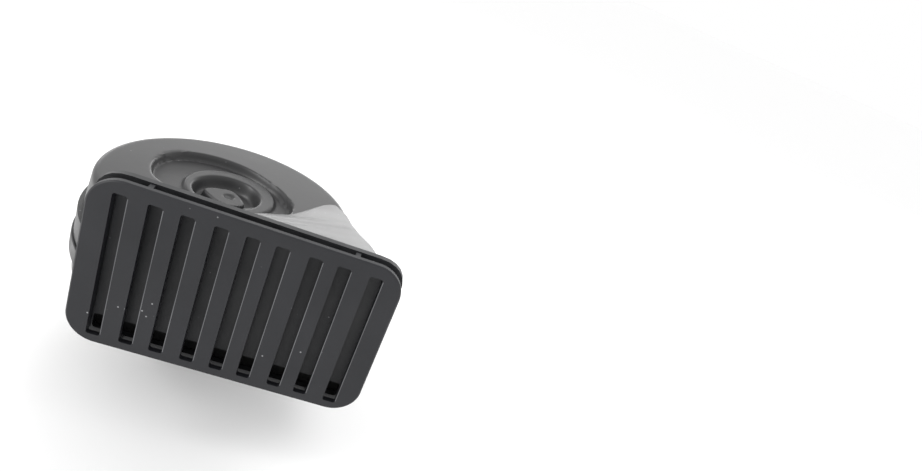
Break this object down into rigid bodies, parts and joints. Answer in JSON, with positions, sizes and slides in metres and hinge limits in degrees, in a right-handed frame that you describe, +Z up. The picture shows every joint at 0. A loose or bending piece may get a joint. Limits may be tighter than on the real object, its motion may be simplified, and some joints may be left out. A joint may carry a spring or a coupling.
{
  "type": "car horn",
  "caption": "Electric snail horn for a car: round steel magnet pan, spiral plastic trumpet and a wide slatted rectangular mouth, hung on one threaded stud.",
  "frame": {"origin": "on the horn axis at the outer face of the hex nut, where the free end of the mounting stud begins", "axes": "+Z up the horn axis to the snail face, mouth faces -Y, +X to the right as seen from the mouth"},
  "size_m": [0.1183, 0.1074, 0.0975],
  "materials": {
    "grille_plastic": "satin moulded black",
    "trumpet_plastic": "satin moulded black",
    "painted_steel": "black paint, scuffed",
    "gasket_rubber": "matte",
    "spring_steel": "rolled",
    "magnet_iron": "turned",
    "zinc_steel": "zinc plated",
    "bobbin_plastic": "natural nylon",
    "copper_wire": "enamelled copper",
    "contact_metal": "hard contact metal",
    "brass_rivet": "plain",
    "resistor_body": "matte",
    "connector_plastic": "glass filled black",
    "tinned_brass": "tinned",
    "fastener_black": "black passivated, worn"
  },
  "bodies": {
    "root": {"mouth_grille": "grille_plastic", "trumpet_cover": "trumpet_plastic", "trumpet_base": "trumpet_plastic", "upper_gasket": "gasket_rubber", "lower_gasket": "gasket_rubber", "diaphragm": "spring_steel", "crimp_ring": "painted_steel", "housing_pan": "painted_steel", "pole_core": "magnet_iron", "coil_bobbin": "bobbin_plastic", "coil_winding": "copper_wire", "armature": "magnet_iron", "armature_nut": "zinc_steel", "breaker_block": "bobbin_plastic", "fixed_contact_arm": "spring_steel", "breaker_spacer": "bobbin_plastic", "contact_spring": "spring_steel", "clamp_plate": "zinc_steel", "contact_points": "contact_metal", "breaker_rivets": "brass_rivet", "adjusting_screw": "zinc_steel", "suppressor_resistor": "resistor_body", "connector_housing": "connector_plastic", "connector_seal": "gasket_rubber", "terminal_blades": "tinned_brass", "connector_rivets": "zinc_steel", "mounting_stud": "fastener_black", "large_washer": "fastener_black", "spring_washer": "fastener_black", "hex_nut": "fastener_black"}
  },
  "joints": []
}
